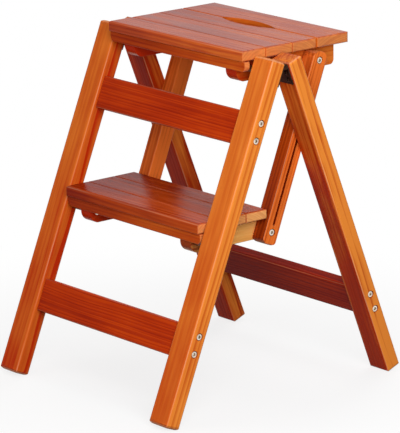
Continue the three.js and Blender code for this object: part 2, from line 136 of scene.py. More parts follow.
class StoolWood(bpy.types.PropertyGroup):
    """Stains, figure and lacquer of the wooden pieces"""

    leg_pale: colour("Legs, pale", "Wood between the growth rings of a leg", (0.97, 0.57, 0.22))
    leg_stain: colour("Legs, stain", "Usual colour of a leg", (0.87, 0.43, 0.14))
    leg_deep: colour("Legs, deep", "Rings of a leg, and deep stain", (0.74, 0.17, 0.02))
    rail_pale: colour("Crosspieces, pale", "Wood between their rings", (0.84, 0.30, 0.04))
    rail_stain: colour("Crosspieces, stain", "Usual colour of a crosspiece", (0.73, 0.20, 0.02))
    rail_deep: colour("Crosspieces, deep", "Their rings and deep stain", (0.53, 0.08, 0.01))
    board_pale: colour("Boards, pale", "Wood between the rings of a slat", (0.90, 0.45, 0.13))
    board_stain: colour("Boards, stain", "Usual colour of a slat", (0.75, 0.28, 0.06))
    board_deep: colour("Boards, deep", "Rings of a slat, and deep stain", (0.55, 0.12, 0.02))
    link_pale: colour("Links, pale", "Wood between the rings of a link", (0.97, 0.49, 0.19))
    link_stain: colour("Links, stain", "Usual colour of a link", (0.72, 0.28, 0.06))
    link_deep: colour("Links, deep", "Rings of a link, and deep stain", (0.46, 0.12, 0.02))
    # Paler copy of the stain for the right step cleat: painted light on its outer side, which
    # faces the light
    lit_cleat_pale: colour("Step cleats, pale", "Wood between their rings", (1.0, 0.80, 0.50))
    lit_cleat_stain: colour("Step cleats, stain", "Their thin stain", (0.96, 0.68, 0.35))
    lit_cleat_deep: colour("Step cleats, deep", "Their rings and deep stain", (0.62, 0.24, 0.07))
    # Paler colour of the sawn ends: partly their own, partly painted light on the lit ends
    end_grain_and_light: colour("End grain", "Sawn ends, which show paler", (0.97, 0.70, 0.42))
    # Pale line along the edges: partly stain sanded thin, partly a painted highlight
    edge_wear_and_highlight: colour("Worn edge", "Edges where the stain is sanded thin", (1.0, 0.80, 0.62))
    ring_spacing: length("Ring spacing", "From one growth ring to the next", RING_SPACING)
    ring_drift: length("Ring drift", "How far the rings wander along a piece", RING_DRIFT)
    lacquer: share("Lacquer", "How much clear lacquer lies on the wood", 0.08)
    lacquer_roughness: share("Lacquer roughness", "0 is a mirror, 1 is matt", 0.16)


class StoolHardware(bpy.types.PropertyGroup):
    """Sizes of the screws, bolts and nuts"""

    head_radius: length(
        "Head radius", "Of a socket screw", size_of("upper_crosspiece_screw_1_right").z / 2,
    )
    head_height: length("Head height", "Of a socket screw", 3.2 * MM)
    head_rounding: length("Head rounding", "Of its upper edge", 0.9 * MM)
    shank_radius: length("Shank radius", "Of a socket screw", 3 * MM)
    socket_radius: length("Socket radius", "Of the hexagon, to its corners", 2.6 * MM)
    socket_depth: length("Socket depth", "Of the hexagon", 2.6 * MM)
    nut_radius: length(
        "Nut radius", "Of the hexagon, to its corners", size_of("seat_link_nut_right").z / 2,
    )
    nut_chamfer: length("Nut chamfer", "Off its corners", 0.8 * MM)
    wood_screw_radius: length("Hinge screw radius", "Of its head", 3.1 * MM)
    wood_screw_height: length("Hinge screw height", "Of its head", 1.3 * MM)
    wood_screw_length: length("Hinge screw length", "Under its head", 13 * MM)
    steel: colour("Zinc", "Plating of screws, bolts, nuts and guide pins", (0.94, 0.89, 0.83))
    # Nickel darkened and reddened: painted shade, and a painted reflection of the red wood, for
    # hinges in the nook between the legs
    shaded_nickel: colour("Nickel", "Dull plating of the hinges", (0.30, 0.20, 0.15))
    nylon: colour("Nylon", "Spacers at the pivots", (0.42, 0.22, 0.12))
    # Colour of the painted shade in the recesses of screws, bolts, nuts and hinges
    recess_shade: colour("Grime", "What settles in recesses", (0.09, 0.05, 0.03))


class StoolStage(bpy.types.PropertyGroup):
    """Floor, lamps and camera"""

    floor: colour("Floor", "Pale floor round the stool", (0.97, 0.97, 0.97))
    floor_bounce: colour("Floor bounce", "Floor in the light that it throws back", (0.4, 0.4, 0.4))
    key_power: power("Key lamp", "To the right, in front and above", 44.0)
    fill_power: power("Fill lamp", "To the left, in front", 11.0)
    top_power: power("Top lamp", "Above and behind", 8.0)
    back_power: power("Back lamp", "Behind, to the left", 26.0)
    daylight: share("Daylight", "Light from all round", 0.15)
    azimuth: angle("Azimuth", "Camera to the right of the front", math.radians(50))
    elevation: angle("Elevation", "Camera above the horizon", math.radians(14.84))
    roll: angle("Roll", "Camera about its own axis", math.radians(-0.68))
    aim: bpy.props.FloatVectorProperty(
        name="Aim", description="Point in the middle of the picture", size=3,
        default=(-0.0445, 0.0414, 0.2146), subtype="XYZ", unit="LENGTH",
    )
    distance: length("Distance", "From the camera to that point", 4.9)
    lens: focal_length("Lens", "Focal length", 304.25)


# Node trees

NODE_STEP = 180  # between two nodes in the editor


def feed(tree, target, values):
    """Sets a node's inputs, by name or place, to numbers, or links them to other nodes' outputs"""
    for key, value in values.items():
        sources = value if isinstance(value, list) else [value]
        for source in sources:
            if isinstance(source, bpy.types.NodeSocket):
                tree.links.new(source, target.inputs[key])
            else:
                target.inputs[key].default_value = source


def node(tree, kind, values=None, **settings):
    """Adds a node with these inputs, as feed takes them, and with these settings"""
    made = tree.nodes.new(kind)
    made.location = (NODE_STEP * len(tree.nodes), 0)
    for name, value in settings.items():
        setattr(made, name, value)
    feed(tree, made, values or {})
    return made


def maths(tree, operation, *values):
    return node(tree, "ShaderNodeMath", dict(enumerate(values)), operation=operation).outputs[0]


def plus(tree, value, more):
    return maths(tree, "ADD", value, more)


def minus(tree, value, less):
    return maths(tree, "SUBTRACT", value, less)


def times(tree, value, factor):
    return maths(tree, "MULTIPLY", value, factor)


def times_plus(tree, value, factor, more):
    return maths(tree, "MULTIPLY_ADD", value, factor, more)


def vector_maths(tree, operation, *values, output=0):
    made = node(tree, "ShaderNodeVectorMath", dict(enumerate(values)), operation=operation)
    return made.outputs[output]


def vector_from(tree, x=0.0, y=0.0, z=0.0):
    return node(tree, "ShaderNodeCombineXYZ", {0: x, 1: y, 2: z}).outputs[0]


def parts_of(tree, vector):
    """The X, Y and Z of a vector"""
    return node(tree, "ShaderNodeSeparateXYZ", {0: vector}).outputs


def between(tree, share_of_high, low, high):
    values = {"Value": share_of_high, "To Min": low, "To Max": high}
    return node(tree, "ShaderNodeMapRange", values).outputs["Result"]


def ease(tree, value, start, end, low=0.0, high=1.0):
    """low up to start, high from end, and a smooth change between them"""
    values = {"Value": value, "From Min": start, "From Max": end, "To Min": low, "To Max": high}
    made = node(tree, "ShaderNodeMapRange", values, interpolation_type="SMOOTHSTEP")
    return made.outputs["Result"]


def stretched(tree, place, along, across):
    """The place with its length and its other two axes scaled"""
    return vector_maths(tree, "MULTIPLY", place, (along, across, across))


def pattern(tree, place, along, across, detail=2.0, roughness=0.5, output=0):
    """Noise that changes this often in a metre, along the piece and the other two ways"""
    vector = stretched(tree, place, along, across)
    values = {"Vector": vector, "Scale": 1.0, "Detail": detail, "Roughness": roughness}
    return node(tree, "ShaderNodeTexNoise", values).outputs[output]


def blend_colours(tree, factor, first, second):
    values = {0: factor, 6: first, 7: second}
    return node(tree, "ShaderNodeMix", values, data_type="RGBA").outputs[2]


def relief(tree, height, depth, strength):
    """The normal of a surface whose height changes by up to this depth"""
    values = {"Strength": strength, "Distance": depth, "Height": height}
    return node(tree, "ShaderNodeBump", values).outputs[0]


def linear(shown):
    """The light that a colour as it shows on a screen stands for, by the rule of such screens"""
    channels = [c / 12.92 if c <= 0.04045 else ((c + 0.055) / 1.055) ** 2.4 for c in shown]
    return (*channels, 1.0)


def dimmed(shown, shares):
    """A colour of which these shares of red, green and blue are left"""
    return tuple(channel * left for channel, left in zip(shown, shares))


def add_inputs(tree, sockets):
    """Gives a tree named inputs, from {name: (socket type, default)}. Returns what they carry"""
    for name, (kind, default) in sockets.items():
        item = tree.interface.new_socket(name, in_out="INPUT", socket_type=kind)
        if default is not None:
            item.default_value = default
    return node(tree, "NodeGroupInput").outputs


def add_outputs(tree, kind, results):
    """Gives a tree named outputs of one socket type, from {name: what it carries}"""
    for name in results:
        tree.interface.new_socket(name, in_out="OUTPUT", socket_type=kind)
    node(tree, "NodeGroupOutput", results)


def new_material(name):
    """A material made of nodes, its tree and the node of its surface"""
    material = bpy.data.materials.new(name)
    material.use_nodes = True
    tree = material.node_tree
    return material, tree, tree.nodes["Principled BSDF"]


# Pine

RING_SOCKETS = {
    "Place": ("NodeSocketVector", None),
    "Pith": ("NodeSocketVector", None),
    "Seed": ("NodeSocketFloat", 0.0),
    "Ring spacing": ("NodeSocketFloat", RING_SPACING),
    "Ring drift": ("NodeSocketFloat", RING_DRIFT),
}
RING_OUTPUTS = ("Late wood", "Streaks", "Fibres", "Blotches")
BOARD_LENGTHS = 3.7  # between two seeds, in metres along the trunk

# How often each pattern changes in a metre, along the piece and across it
WANDER = (3.4, 8)
STREAKS = (5, 260)
FIBRES = (45, 1500)
BLOTCHES = (9, 26)

# The growth rings
GOOD_YEARS = 0.45  # how often their spacing changes in a year
GOOD_YEARS_SHIFT = 2.2  # how many years this can shift them by
SUMMER = (0.3, 0.88)  # the wood gets dark between these parts of a year
WINTER = (0.9, 1.0)  # and pale again between these
FAINTEST_RING = 0.4  # how dark the faintest ring gets, where the darkest gets 1


def pine_figure():
    """Growth rings round the pith of the trunk that a piece was sawn from, and finer streaks.
    X runs along the piece"""
    tree = bpy.data.node_groups.new("pine_figure", "ShaderNodeTree")
    given = add_inputs(tree, RING_SOCKETS)
    shift = vector_from(tree, x=times(tree, given["Seed"], BOARD_LENGTHS))
    place = vector_maths(tree, "ADD", given["Place"], shift)

    wander = pattern(tree, place, *WANDER, detail=1.5, output=1)
    centred = vector_maths(tree, "SUBTRACT", wander, (0.5, 0.5, 0.5))
    values = {0: centred, "Scale": given["Ring drift"]}
    drift = node(tree, "ShaderNodeVectorMath", values, operation="SCALE").outputs[0]
    drifted = vector_maths(tree, "ADD", place, drift)
    from_pith = vector_maths(tree, "SUBTRACT", drifted, given["Pith"])
    radius = vector_maths(tree, "LENGTH", stretched(tree, from_pith, 0, 1), output=1)
    years = maths(tree, "DIVIDE", radius, given["Ring spacing"])
    values = {"W": times(tree, years, GOOD_YEARS), "Scale": 1.0}
    growth = node(tree, "ShaderNodeTexNoise", values, noise_dimensions="1D").outputs[0]
    phase = plus(tree, years, times(tree, growth, GOOD_YEARS_SHIFT))
    year = maths(tree, "FLOOR", phase)
    season = minus(tree, phase, year)
    summer = ease(tree, season, *SUMMER)
    winter = ease(tree, season, *WINTER, 1.0, 0.0)
    values = {"W": plus(tree, year, given["Seed"])}
    depth = node(tree, "ShaderNodeTexWhiteNoise", values, noise_dimensions="1D").outputs[0]
    strength = times_plus(tree, depth, 1 - FAINTEST_RING, FAINTEST_RING)
    late_wood = times(tree, times(tree, summer, winter), strength)

    figure = (
        late_wood,
        pattern(tree, place, *STREAKS, detail=3.0),
        pattern(tree, place, *FIBRES, detail=3.0, roughness=0.6),
        pattern(tree, place, *BLOTCHES),
    )
    add_outputs(tree, "NodeSocketFloat", dict(zip(RING_OUTPUTS, figure)))


# How a piece's stain lies, and the light and shade painted into it, where LOOKS says nothing else
LOOK = {
    "depth": 0.35,  # of the stain, in the middle of the piece
    "slope": 0.0,  # how much deeper it gets in a metre along the piece
    "side_slope": 0.0,  # and in a metre along the faces that look across the piece
    "side_depth": 0.0,  # how much deeper it is on those faces
    "ring_scale": 1.0,  # how much wider its growth rings are than usual
    "rings_across": 0.4,  # how strongly they show on those faces
    "rings_through": 0.25,  # and on the faces that look through the piece
    "end_depth": 0.0,  # how much deeper it is on the sawn ends
    "groove_floor_shadow": 0.0,  # painted shadow: how much deeper the stain is made at the bottom of a groove along the piece
    "groove_wall_light": 0.0,  # and on the upper part of the groove's walls, where a negative value paints light
    "pale_and_lit_end": 0.5,  # how much paler the sawn ends are: stain they have lost, and painted light
    "edge_wear_and_highlight": 0.25,  # how strongly the pale line along the edges shows: stain sanded off, and a painted highlight
    "gloss": 0.35,  # how much gloss is left of the lacquer's
}

GROOVE_REACH = 4.5 * MM  # from the piece's middle line to beyond the walls of its groove
GROOVE_FLOOR = 8 * MM  # from the piece's middle plane to above the groove's floor
GROOVE_BLUR = 1 * MM

# How squarely a surface has to look along an axis of the piece to start to be its side or its end,
# and to be so fully
SIDE_ON = (0.6, 0.8)
END_ON = (0.7, 0.95)

# The stain changes between two values of the streaks, the blotches and the fibres, by as much as
# the third number says
STAIN_CHANGES = ((0.3, 0.7, 0.09), (0.3, 0.7, 0.13), (0.35, 0.7, 0.04))
USUAL_DEPTH = 0.45  # where a piece has its usual colour
END_STAIN_KEPT = (0.3, 0.1)  # how much of the stained colour the paler ends keep, on a ring and besides
WEAR_AND_HIGHLIGHT_PATCHES = (0.2, 0.7)  # the pale edge line, partly wear and partly a painted highlight, comes between these values of the blotches
WEAR_AND_HIGHLIGHT_ROUND = (0.88, 0.74)  # and between these, for how squarely the surface looks to a side

WOOD_ROUGHNESS = 0.22
RING_POLISH = 0.1  # how much smoother a ring is
STREAK_ROUGHNESS = 0.2
GRAIN_DEPTH = 0.2 * MM
GRAIN_RELIEF = 0.4  # how strongly this depth shows
WOOD_SHINE = 0.07  # how much the wood shines under its lacquer


def groove_shade_and_light(tree, place, sides, look):
    """Painted shadow on the floor of a groove along the faces that look across, and painted light
    on its walls
    """
    off = parts_of(tree, vector_maths(tree, "ABSOLUTE", place))
    inside = ease(tree, off[2], GROOVE_REACH + GROOVE_BLUR, GROOVE_REACH)
    sunk = ease(tree, off[1], GROOVE_FLOOR + GROOVE_BLUR, GROOVE_FLOOR)
    wall = ease(tree, sides[2], *SIDE_ON, 0.0, look["groove_wall_light"])
    floor = ease(tree, sides[0], *SIDE_ON, look["groove_floor_shadow"], 0.0)
    return times(tree, inside, between(tree, sunk, wall, floor))


def pine(name, stain, middle, turn, pith, seed, wood, look):
    """Stained and lacquered pine for one piece. stain is (pale, usual, deep) as shown colours"""
    material, tree, surface = new_material(name)
    where = node(tree, "ShaderNodeTexCoord").outputs
    values = {"Vector": where["Object"], "Location": middle, "Rotation": turn}
    place = node(tree, "ShaderNodeMapping", values, vector_type="TEXTURE").outputs[0]
    values = {
        "Place": place,
        "Pith": pith,
        "Seed": seed,
        "Ring spacing": wood.ring_spacing * look["ring_scale"],
        "Ring drift": wood.ring_drift,
    }
    rule = bpy.data.node_groups["pine_figure"]
    figure = node(tree, "ShaderNodeGroup", values, node_tree=rule).outputs
    rings, streaks, fibres, blotches = (figure[output] for output in RING_OUTPUTS)

    # Which way the surface looks: along the piece, across it or through it
    values = {"Vector": where["Normal"], "Rotation": turn}
    facing = node(tree, "ShaderNodeMapping", values, vector_type="TEXTURE").outputs[0]
    sides = parts_of(tree, vector_maths(tree, "ABSOLUTE", facing))
    on_end = ease(tree, sides[0], *END_ON)
    on_side = ease(tree, sides[1], *SIDE_ON)
    rings_shown = between(tree, on_side, look["rings_through"], look["rings_across"])

    # How deep the stain is, with the light and shade that LOOKS paints into it: 0 on pale wood, 1
    # on a growth ring in a dark place
    run = parts_of(tree, place)[0]
    slope = ease(tree, sides[1], *SIDE_ON, look["slope"], look["side_slope"])
    deep = times_plus(tree, run, slope, look["depth"])
    deep = times_plus(tree, on_side, look["side_depth"], deep)
    deep = times_plus(tree, on_end, look["end_depth"], deep)
    if look["groove_floor_shadow"] or look["groove_wall_light"]:
        deep = plus(tree, groove_shade_and_light(tree, place, sides, look), deep)
    deep = times_plus(tree, rings, rings_shown, deep)
    for value, (start, end, change) in zip((streaks, blotches, fibres), STAIN_CHANGES):
        deep = plus(tree, ease(tree, value, start, end, -change, change), deep)
    ramp = node(tree, "ShaderNodeValToRGB", {0: deep})
    colours = ramp.color_ramp.elements
    colours[0].color = linear(stain[0])
    colours[1].color = linear(stain[2])
    colours.new(USUAL_DEPTH).color = linear(stain[1])
    shade = ramp.outputs[0]

    # Sawn ends are paler, partly as painted light on the lit ends, and so is a thin line along the
    # edges, partly where the stain is sanded thin and partly as a painted highlight
    kept = times_plus(tree, rings, *END_STAIN_KEPT)
    sawn_and_lit = blend_colours(tree, kept, linear(wood.end_grain_and_light), shade)
    shade = blend_colours(tree, times(tree, on_end, look["pale_and_lit_end"]), shade, sawn_and_lit)
    flattest = maths(tree, "MAXIMUM", maths(tree, "MAXIMUM", sides[0], sides[1]), sides[2])
    wear_and_highlight = times(tree, ease(tree, blotches, *WEAR_AND_HIGHLIGHT_PATCHES), look["edge_wear_and_highlight"])
    wear_and_highlight = times(tree, ease(tree, flattest, *WEAR_AND_HIGHLIGHT_ROUND), wear_and_highlight)
    shade = blend_colours(tree, wear_and_highlight, shade, linear(wood.edge_wear_and_highlight))

    # Lacquer lies smooth over the grain
    roughness = times_plus(tree, rings, -RING_POLISH, WOOD_ROUGHNESS)
    roughness = times_plus(tree, streaks, STREAK_ROUGHNESS, roughness)
    height = times_plus(tree, rings, 0.5, times(tree, fibres, 0.5))
    feed(tree, surface, {
        "Base Color": shade,
        "Roughness": roughness,
        "Normal": relief(tree, height, GRAIN_DEPTH, GRAIN_RELIEF),
        "Specular IOR Level": WOOD_SHINE * look["gloss"],
        "Coat Weight": wood.lacquer * look["gloss"],
        "Coat Roughness": wood.lacquer_roughness,
    })
    return material


# Steel and nylon

PLATING_CLOUDS = (160, 160)  # how often they change in a metre, as for the wood's patterns
SCRATCHES = 2600
CLOUDED = (0.42, 0.75)  # the plating gets dull between these values of its clouds
DULLNESS = 0.6  # how dull it gets there
DULL_SHARES = (0.62, 0.6, 0.56)  # of the plating's red, green and blue
RECESS_SHADE_REACH = 2.5 * MM  # how near another surface the painted shade of a recess reaches
RECESS_SHADING = (0.75, 0.3)  # it is painted between these values, for how open a place is
PLATING_POLISH = 0.1  # how much smoother clean and unscratched plating is
ROUGHENING = (0.18, 0.22, 0.3)  # by dullness, scratches and recesses
SCRATCH_DEPTH = 0.04 * MM
SCRATCH_RELIEF = 0.25

MOTTLING = (300, 300)
TURNING_MARKS = (4000, 60)
MOTTLED = (0.3, 0.7)
YELLOWED_SHARES = (0.94, 0.88, 0.76)
NYLON_ROUGHNESS = (0.15, 0.42)  # how much rougher the marks are, and the nylon besides
MARK_DEPTH = 0.05 * MM
MARK_RELIEF = 0.3


def plated_steel(name, shown, roughness, recess_shade, brush=0.0):
    """Plated steel with faint clouds in its plating and painted shade in its recesses. brush
    stretches its fine scratches along X"""
    material, tree, surface = new_material(name)
    place = node(tree, "ShaderNodeTexCoord").outputs["Object"]
    clouds = pattern(tree, place, *PLATING_CLOUDS, detail=4.0)
    scratches = pattern(tree, place, SCRATCHES * (1 - brush), SCRATCHES)
    tarnish = ease(tree, clouds, *CLOUDED)
    dull = linear(dimmed(shown, DULL_SHARES))
    shade = blend_colours(tree, times(tree, tarnish, DULLNESS), linear(shown), dull)
    # Painted shade: recesses, found by ambient occlusion, turn towards the recess shade colour
    openness = node(tree, "ShaderNodeAmbientOcclusion", {"Distance": RECESS_SHADE_REACH}).outputs["AO"]
    recessed = ease(tree, openness, *RECESS_SHADING)
    shade = blend_colours(tree, recessed, shade, linear(recess_shade))
    rough = roughness - PLATING_POLISH
    for cause, change in zip((tarnish, scratches, recessed), ROUGHENING):
        rough = times_plus(tree, cause, change, rough)
    feed(tree, surface, {
        "Base Color": shade,
        "Roughness": rough,
        "Normal": relief(tree, scratches, SCRATCH_DEPTH, SCRATCH_RELIEF),
        "Metallic": 1.0,
    })


def matt_nylon(name, shown):
    """Turned nylon: faint mottling, soft sheen and fine turning marks"""
    material, tree, surface = new_material(name)
    place = node(tree, "ShaderNodeTexCoord").outputs["Object"]
    mottling = pattern(tree, place, *MOTTLING, detail=3.0)
    marks = pattern(tree, place, *TURNING_MARKS, detail=1.0)
    yellowed = linear(dimmed(shown, YELLOWED_SHARES))
    shade = blend_colours(tree, ease(tree, mottling, *MOTTLED), linear(shown), yellowed)
    feed(tree, surface, {
        "Base Color": shade,
        "Roughness": times_plus(tree, marks, *NYLON_ROUGHNESS),
        "Normal": relief(tree, marks, MARK_DEPTH, MARK_RELIEF),
    })


# Shading of the frame's own pieces

CREASE = math.radians(32)  # edges that turn by more than this stay sharp
WELD = 0.002 * MM  # the frame's triangles lie loose, and join where they meet this closely
FLATS_WEIGHT = 100  # large flat faces decide how their edges are shaded


def rounded_edges():
    """Joins a piece's loose triangles, and shades its rounded edges smooth"""
    tree = bpy.data.node_groups.new("rounded_edges", "GeometryNodeTree")
    given = add_inputs(tree, {
        "Geometry": ("NodeSocketGeometry", None),
        "Weld": ("NodeSocketFloat", WELD),
        "Crease": ("NodeSocketFloat", CREASE),
    })
    values = {"Geometry": given["Geometry"], "Distance": given["Weld"]}
    joined = node(tree, "GeometryNodeMergeByDistance", values).outputs[0]
    values = {0: joined, "Shade Smooth": True}
    smooth = node(tree, "GeometryNodeSetShadeSmooth", values, domain="FACE").outputs[0]
    turn = node(tree, "GeometryNodeInputMeshEdgeAngle").outputs["Unsigned Angle"]
    sharp = node(
        tree, "FunctionNodeCompare", {0: turn, 1: given["Crease"]}, data_type="FLOAT",
        operation="GREATER_THAN",
    )
    values = {0: smooth, "Selection": sharp.outputs[0], "Shade Smooth": False}
    creased = node(tree, "GeometryNodeSetShadeSmooth", values, domain="EDGE").outputs[0]
    add_outputs(tree, "NodeSocketGeometry", {"Geometry": creased})


def dress(node_name, material):
    """Gives one of the frame's pieces its material and smooth rounded edges"""
    piece = NODES[node_name]
    piece.material_slots[0].material = material
    rounding = piece.modifiers.new("Rounded edges", "NODES")
    rounding.node_group = bpy.data.node_groups["rounded_edges"]
    flats = piece.modifiers.new("Flat faces", "WEIGHTED_NORMAL")
    flats.keep_sharp = True
    flats.weight = FLATS_WEIGHT


# Screws, bolts and nuts

ROUND_SIDES = 40
HEAD_STEPS = 5  # rings in the rounding of a head
NUT_SIDES = 6
SHANK_OVERLAP = 0.2  # how far a shank runs into its head, as a share of the head's height
TIP_CHAMFER = 0.6 * MM
SOCKET_CONE = 0.5 * MM  # the cone at the bottom of a hexagon socket
POINT_SHARE = 0.1  # how much of its radius a cone has left at its point
DOME_SHARE = 0.92  # how much of a wood screw's head is rounded
TAPER_START = 0.7  # where a wood screw starts to get thin, as a share of its length
RECESS_REACH = 1.1  # the length of a cross recess, as a share of the head's radius
TURN_SEED = 4  # for how each screw and nut is turned about its axis


def moved(tree, geometry, shift):
    values = {"Geometry": geometry, "Translation": shift}
    return node(tree, "GeometryNodeTransform", values).outputs[0]


def ring(tree, radius, height, sides=ROUND_SIDES):
    circle = node(tree, "GeometryNodeMeshCircle", {"Vertices": sides, "Radius": radius}).outputs[0]
    return moved(tree, circle, vector_from(tree, z=height))


def turned_solid(tree, rings):
    """The bulging solid that goes through all of these rings"""
    joined = node(tree, "GeometryNodeJoinGeometry", {0: rings})
    return node(tree, "GeometryNodeConvexHull", {0: joined.outputs[0]}).outputs[0]


def rod(tree, radius, low, high, sides=ROUND_SIDES):
    return turned_solid(tree, [ring(tree, radius, low, sides), ring(tree, radius, high, sides)])


def boolean(tree, operation, first, others):
    if operation == "DIFFERENCE":
        values = {0: first, 1: others}
    else:
        values = {1: [first, *others]}
    made = node(tree, "GeometryNodeMeshBoolean", values, operation=operation, solver="EXACT")
    return made.outputs[0]


def domed_head(tree, radius, height, rounding):
    """A head on the plane z = 0, with a rounded upper edge"""
    rings = [ring(tree, radius, 0.0)]
    for step in range(HEAD_STEPS):
        tilt = math.pi / 2 * step / (HEAD_STEPS - 1)
        inset = times(tree, rounding, 1 - math.cos(tilt))
        drop = times(tree, rounding, 1 - math.sin(tilt))
        rings.append(ring(tree, minus(tree, radius, inset), minus(tree, height, drop)))
    return turned_solid(tree, rings)


def set_on_points(tree, given, solid):
    """Copies the solid to each point, its Z the way the point faces, turned at random about it"""
    values = {"Name": "facing"}
    facing = node(
        tree, "GeometryNodeInputNamedAttribute", values, data_type="FLOAT_VECTOR",
    ).outputs[0]
    values = {"Vector": facing}
    upright = node(tree, "FunctionNodeAlignRotationToVector", values, axis="Z").outputs[0]
    values = {2: 0.0, 3: math.tau, "Seed": given["Seed"]}
    turn = node(tree, "FunctionNodeRandomValue", values, data_type="FLOAT").outputs[1]
    values = {"Axis": UPWARD, "Angle": turn}
    spin = node(tree, "FunctionNodeAxisAngleToRotation", values).outputs[0]
    values = {0: upright, 1: spin}
    turned = node(tree, "FunctionNodeRotateRotation", values, rotation_space="LOCAL").outputs[0]
    values = {"Points": given["Geometry"], "Instance": solid, "Rotation": turned}
    copies = node(tree, "GeometryNodeInstanceOnPoints", values).outputs[0]
    real = node(tree, "GeometryNodeRealizeInstances", {0: copies}).outputs[0]
    values = {0: real, "Material": given["Material"]}
    plated = node(tree, "GeometryNodeSetMaterial", values).outputs[0]
    add_outputs(tree, "NodeSocketGeometry", {"Geometry": plated})


def hardware_tree(name, *sizes):
    """A tree that makes hardware on points, with lengths of these names. Returns the tree, what
    its inputs carry, and each of the lengths"""
    tree = bpy.data.node_groups.new(name, "GeometryNodeTree")
    given = add_inputs(tree, {
        "Geometry": ("NodeSocketGeometry", None),
        "Seed": ("NodeSocketInt", TURN_SEED),
        "Material": ("NodeSocketMaterial", None),
        **{size: ("NodeSocketFloat", MM) for size in sizes},
    })
    return tree, given, *(given[size] for size in sizes)


SOCKET_SCREW_SIZES = (
    "Head radius", "Head height", "Head rounding", "Shank radius", "Socket radius", "Socket depth",
)


def socket_screw_tree():
    """A screw with a hexagon socket: its head's bearing face is on the point"""
    tree, given, radius, height, rounding, shank_radius, socket_radius, depth, shank_length = (
        hardware_tree("socket_screw", *SOCKET_SCREW_SIZES, "Shank length")
    )
    head = domed_head(tree, radius, height, rounding)
    tip = times(tree, shank_length, -1.0)
    shank = turned_solid(tree, [
        ring(tree, shank_radius, times(tree, height, SHANK_OVERLAP)),
        ring(tree, shank_radius, plus(tree, tip, TIP_CHAMFER)),
        ring(tree, minus(tree, shank_radius, TIP_CHAMFER), tip),
    ])
    floor = minus(tree, height, depth)
    socket = turned_solid(tree, [
        ring(tree, socket_radius, floor, NUT_SIDES),
        ring(tree, socket_radius, plus(tree, height, depth), NUT_SIDES),
        ring(tree, times(tree, socket_radius, POINT_SHARE), minus(tree, floor, SOCKET_CONE)),
    ])
    body = boolean(tree, "UNION", head, [shank])
    set_on_points(tree, given, boolean(tree, "DIFFERENCE", body, [socket]))


def nut_tree():
    """A hexagon nut on the plane of the point, its corners chamfered at both faces"""
    tree, given, radius, height, chamfer, bore_radius = hardware_tree(
        "chamfered_nut", "Nut radius", "Height", "Chamfer", "Bore radius",
    )
    hexagon = rod(tree, radius, 0.0, height, NUT_SIDES)
    waist = times(tree, chamfer, 0.5)
    narrow = minus(tree, radius, chamfer)
    turned = turned_solid(tree, [
        ring(tree, narrow, 0.0),
        ring(tree, radius, waist),
        ring(tree, radius, minus(tree, height, waist)),
        ring(tree, narrow, height),
    ])
    bore = rod(tree, bore_radius, times(tree, height, -1.0), times(tree, height, 2.0))
    solid = boolean(tree, "INTERSECT", hexagon, [turned])
    set_on_points(tree, given, boolean(tree, "DIFFERENCE", solid, [bore]))


def wood_screw_tree():
    """A round-headed wood screw with a cross recess, pointed at its tip"""
    tree, given, radius, height, shank_radius, shank_length, width, depth = hardware_tree(
        "wood_screw", "Head radius", "Head height", "Shank radius", "Shank length",
        "Recess width", "Recess depth",
    )
    head = domed_head(tree, radius, height, times(tree, height, DOME_SHARE))
    tip = times(tree, shank_length, -1.0)
    shank = turned_solid(tree, [
        ring(tree, shank_radius, times(tree, height, SHANK_OVERLAP)),
        ring(tree, shank_radius, times(tree, tip, TAPER_START)),
        ring(tree, times(tree, shank_radius, POINT_SHARE), tip),
    ])
    reach = times(tree, radius, RECESS_REACH)
    cut = times(tree, depth, 2.0)
    lift = vector_from(tree, z=height)
    slots = []
    for across, along in ((reach, width), (width, reach)):
        size = vector_from(tree, across, along, cut)
        block = node(tree, "GeometryNodeMeshCube", {"Size": size}).outputs[0]
        slots.append(moved(tree, block, lift))
    body = boolean(tree, "UNION", head, [shank])
    set_on_points(tree, given, boolean(tree, "DIFFERENCE", body, slots))


def place_hardware(name, tree_name, places, sizes, body, stands_for=()):
    """Makes one piece of like screws or nuts. places are (point, the way the head faces)"""
    points = bpy.data.meshes.new(name)
    points.from_pydata([point for point, facing in places], [], [])
    facings = points.attributes.new("facing", "FLOAT_VECTOR", "POINT")
    facings.data.foreach_set("vector", [part for point, facing in places for part in facing])
    piece = bpy.data.objects.new(name, points)
    bpy.context.scene.collection.objects.link(piece)
    modifier = piece.modifiers.new("Hardware", "NODES")
    modifier.node_group = bpy.data.node_groups[tree_name]
    for item in modifier.node_group.interface.items_tree:
        if item.in_out == "INPUT" and item.name in sizes:
            modifier[item.identifier] = sizes[item.name]
    bpy.context.view_layer.update()
    shaped = piece.evaluated_get(bpy.context.evaluated_depsgraph_get())
    plain = bpy.data.meshes.new_from_object(shaped)
    piece.modifiers.clear()
    piece.data = plain
    bpy.data.meshes.remove(points)
    if not plain.polygons:
        raise RuntimeError(f"{name} came out empty")
    plain.name = name
    plain.shade_smooth()
    plain.set_sharp_from_angle(angle=CREASE)
    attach(piece, body)
    if stands_for:
        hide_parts(*stands_for)


def bearing_point(node_name, way, head_height):
    """Where a screw's head bears, on its axis. way is 1 where the head looks along +X"""
    low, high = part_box(node_name)
    outer = high.x if way > 0 else low.x
    middle = centre_of(node_name)
    return Vector((outer - way * head_height, middle.y, middle.z))


def both_sides(*kinds):
    return [f"{kind}_{side}" for kind in kinds for side in SIDES]


def outward_way(node_name):
    return SIDES[node_name.rsplit("_", 1)[1]]


